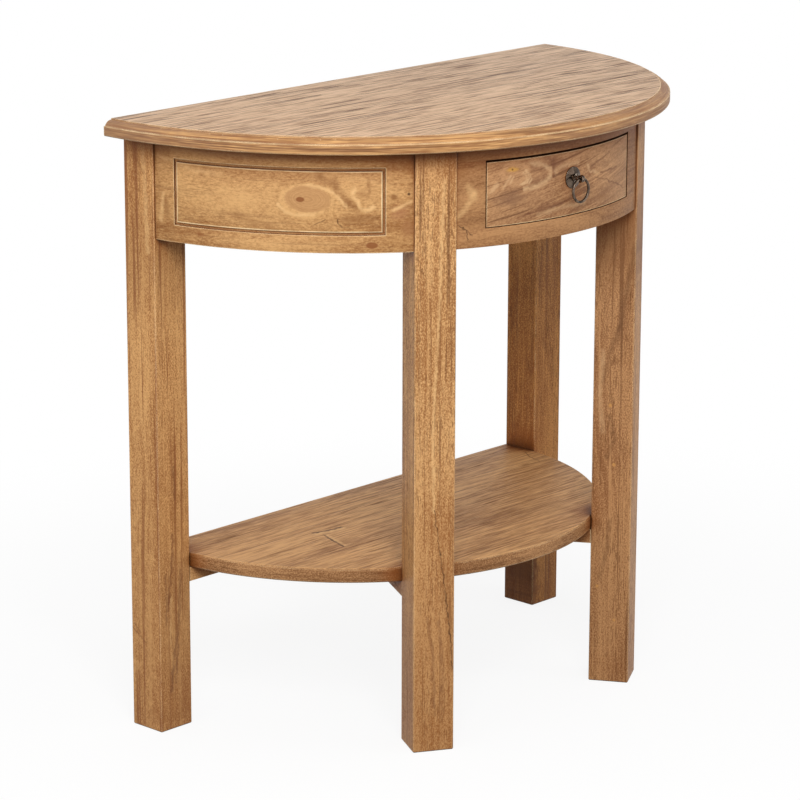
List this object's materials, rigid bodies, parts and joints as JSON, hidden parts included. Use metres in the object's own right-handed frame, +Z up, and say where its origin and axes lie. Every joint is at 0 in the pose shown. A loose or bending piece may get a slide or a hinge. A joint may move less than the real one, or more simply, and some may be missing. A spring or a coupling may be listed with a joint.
{
  "type": "demilune side table",
  "caption": "Half-round wooden side table with a moulded top, square legs, curved aprons, a bow-fronted drawer with a ring pull and a half-round lower shelf.",
  "frame": {"origin": "on the floor, below the middle of the top's bounding box", "axes": "+Z up, +Y towards the straight back, +X to the right for someone facing the drawer"},
  "size_m": [0.8, 0.414, 0.758],
  "materials": {
    "top_wood": "satin wax, open grain",
    "frame_wood": "satin wax, open grain",
    "inner_wood": "bare, sanded",
    "dark_metal": "dark bronzed",
    "screw_steel": "zinc plated"
  },
  "bodies": {
    "table": {"apron_back": "frame_wood", "apron_left": "frame_wood", "apron_right": "frame_wood", "drawer_kicker_left": "inner_wood", "drawer_kicker_right": "inner_wood", "drawer_rail_lower": "frame_wood", "drawer_rail_upper": "frame_wood", "drawer_runner_left": "inner_wood", "drawer_runner_right": "inner_wood", "drawer_stop_left": "inner_wood", "drawer_stop_right": "inner_wood", "front_stile_left": "frame_wood", "front_stile_right": "frame_wood", "glue_block_back_left": "inner_wood", "glue_block_back_right": "inner_wood", "glue_block_side_left": "inner_wood", "glue_block_side_right": "inner_wood", "leg_back_left": "frame_wood", "leg_back_right": "frame_wood", "leg_front_left": "frame_wood", "leg_front_right": "frame_wood", "shelf": "top_wood", "shelf_screw_back_left": "screw_steel", "shelf_screw_back_right": "screw_steel", "shelf_screw_inner_left": "screw_steel", "shelf_screw_inner_right": "screw_steel", "shelf_screw_outer_left": "screw_steel", "shelf_screw_outer_right": "screw_steel", "shelf_stretcher_back": "frame_wood", "shelf_stretcher_left": "frame_wood", "shelf_stretcher_right": "frame_wood", "table_top": "top_wood", "top_screw_back_block_left": "screw_steel", "top_screw_back_block_right": "screw_steel", "top_screw_kicker_front_left": "screw_steel", "top_screw_kicker_front_right": "screw_steel", "top_screw_kicker_rear_left": "screw_steel", "top_screw_kicker_rear_right": "screw_steel", "top_screw_side_block_left": "screw_steel", "top_screw_side_block_right": "screw_steel"},
    "drawer": {"drawer_front": "frame_wood", "drawer_side_left": "inner_wood", "drawer_side_right": "inner_wood", "drawer_back": "inner_wood", "drawer_bottom": "inner_wood", "pull_backplate": "dark_metal", "pull_eye_bolt": "dark_metal", "pull_washer": "screw_steel", "pull_nut": "screw_steel"},
    "pull_ring": {"pull_ring": "dark_metal"}
  },
  "joints": [
    {"name": "drawer_slide", "type": "slide", "parent": "table", "child": "drawer", "axis": [0, -1, 0], "range_m": [0, 0.21]},
    {"name": "ring_swing", "type": "hinge", "parent": "drawer", "child": "pull_ring", "pos_m": [0, -0.1879, 0.68448], "axis": [-1, 0, 0], "range_deg": [-20, 200]}
  ]
}
